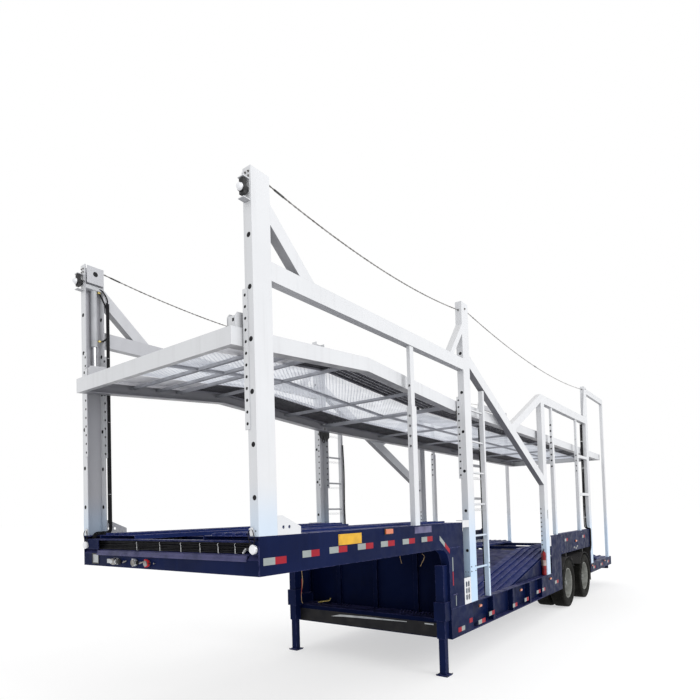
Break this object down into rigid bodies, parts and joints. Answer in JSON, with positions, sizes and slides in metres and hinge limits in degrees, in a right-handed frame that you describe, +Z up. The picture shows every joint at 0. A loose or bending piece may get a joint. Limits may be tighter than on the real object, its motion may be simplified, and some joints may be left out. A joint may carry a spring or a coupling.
{
  "type": "car transporter semi-trailer",
  "caption": "Double-deck car transporter semi-trailer on its landing legs, with a gooseneck, post frame, two hinged upper decks, lift rods and twin-wheeled axles.",
  "frame": {"origin": "middle of the trailer's footprint on the ground, under the middle of its box", "axes": "+X towards the gooseneck (forward), +Y to the left-hand side, +Z up"},
  "size_m": [12.56, 2.5, 4.65],
  "materials": {
    "bare_steel": "bare greased steel",
    "chassis_paint": "navy blue paint, glossy, lightly dusty",
    "deck_mesh": "expanded metal mesh",
    "deck_sheet": "purple-grey primer on folded and perforated sheet",
    "extinguisher_red": "red plastic",
    "fender_plastic": "dark plastic",
    "fitting_metal": "cast fittings",
    "flap_rubber": "black rubber",
    "hose_rubber": "black hose",
    "lamp_lens": "lamp lens",
    "lift_paint": "light grey paint on cylinder barrels and hinge blocks",
    "post_paint": "white paint, semi-gloss, with a pale blue tinge at the feet",
    "rim_paint": "grey paint, dusty",
    "rod_steel": "hard chromed",
    "running_gear_paint": "black chassis paint, satin, dusty",
    "tyre_rubber": "black rubber"
  },
  "bodies": {
    "chassis": {"axle_beams": "running_gear_paint", "chassis_rails": "chassis_paint", "coupler_plate": "bare_steel", "couplings": "fitting_metal", "drop_columns": "chassis_paint", "extinguisher": "extinguisher_red", "fenders": "fender_plastic", "floor_cross_members": "chassis_paint", "floor_sheet": "chassis_paint", "floor_tracks": "chassis_paint", "front_beam": "chassis_paint", "front_hoses": "hose_rubber", "front_posts": "post_paint", "guard_wires": "bare_steel", "hump_side_beams": "chassis_paint", "hump_uprights": "chassis_paint", "kingpin": "bare_steel", "ladders": "post_paint", "lamp_brackets": "post_paint", "landing_legs": "chassis_paint", "leaf_springs": "running_gear_paint", "lift_gear": "lift_paint", "lower_side_beams": "chassis_paint", "marker_lamps": "lamp_lens", "mid_posts": "post_paint", "mudflaps": "flap_rubber", "neck_bulkhead": "chassis_paint", "neck_cross_members": "chassis_paint", "neck_side_beams": "chassis_paint", "neck_tracks": "chassis_paint", "post_brackets": "post_paint", "rail_braces": "post_paint", "rear_posts": "post_paint", "side_posts": "post_paint", "tail_side_beams": "chassis_paint", "top_rails": "post_paint", "underrun_bar": "chassis_paint"},
    "front_deck": {"front_deck_cross_members": "deck_sheet", "front_deck_end_beam": "post_paint", "front_deck_mesh": "deck_mesh", "front_deck_pins": "bare_steel", "front_deck_side_beams": "post_paint", "front_deck_tracks": "deck_sheet"},
    "rear_deck": {"rear_deck_cross_members": "deck_sheet", "rear_deck_end_beam": "post_paint", "rear_deck_mesh": "deck_mesh", "rear_deck_pins": "bare_steel", "rear_deck_side_beams": "post_paint", "rear_deck_tracks": "deck_sheet"},
    "front_lift": {"front_lift_rods": "rod_steel"},
    "rear_lift": {"rear_lift_rods": "rod_steel"},
    "wheels_front_left": {"front_left_tyres": "tyre_rubber", "front_left_rims": "rim_paint"},
    "wheels_front_right": {"front_right_tyres": "tyre_rubber", "front_right_rims": "rim_paint"},
    "wheels_rear_left": {"rear_left_tyres": "tyre_rubber", "rear_left_rims": "rim_paint"},
    "wheels_rear_right": {"rear_right_tyres": "tyre_rubber", "rear_right_rims": "rim_paint"}
  },
  "joints": [
    {"name": "front_deck_tilt", "type": "hinge", "parent": "chassis", "child": "front_deck", "pos_m": [2.392, 0, 3.275], "axis": [0, -1, 0], "range_deg": [-6.5, 1.5]},
    {"name": "rear_deck_tilt", "type": "hinge", "parent": "chassis", "child": "rear_deck", "pos_m": [2.272, 0, 3.275], "axis": [0, 1, 0], "range_deg": [-8.5, 2]},
    {"name": "front_lift_slide", "type": "slide", "parent": "chassis", "child": "front_lift", "axis": [0, 0, 1], "range_m": [-0.4168, 0.0964]},
    {"name": "rear_lift_slide", "type": "slide", "parent": "chassis", "child": "rear_lift", "axis": [0, 0, 1], "range_m": [-0.9708, 0.2287]},
    {"name": "wheels_front_left_spin", "type": "hinge", "parent": "chassis", "child": "wheels_front_left", "pos_m": [-2.27, 0.965, 0.46], "axis": [0, 1, 0], "continuous": true},
    {"name": "wheels_front_right_spin", "type": "hinge", "parent": "chassis", "child": "wheels_front_right", "pos_m": [-2.27, -0.965, 0.46], "axis": [0, 1, 0], "continuous": true},
    {"name": "wheels_rear_left_spin", "type": "hinge", "parent": "chassis", "child": "wheels_rear_left", "pos_m": [-3.58, 0.965, 0.46], "axis": [0, 1, 0], "continuous": true},
    {"name": "wheels_rear_right_spin", "type": "hinge", "parent": "chassis", "child": "wheels_rear_right", "pos_m": [-3.58, -0.965, 0.46], "axis": [0, 1, 0], "continuous": true}
  ],
  "couplings": [
    {"joint": "front_lift_slide", "follows": "front_deck_tilt", "m_per_rad": 3.671},
    {"joint": "rear_lift_slide", "follows": "rear_deck_tilt", "m_per_rad": 6.542}
  ]
}
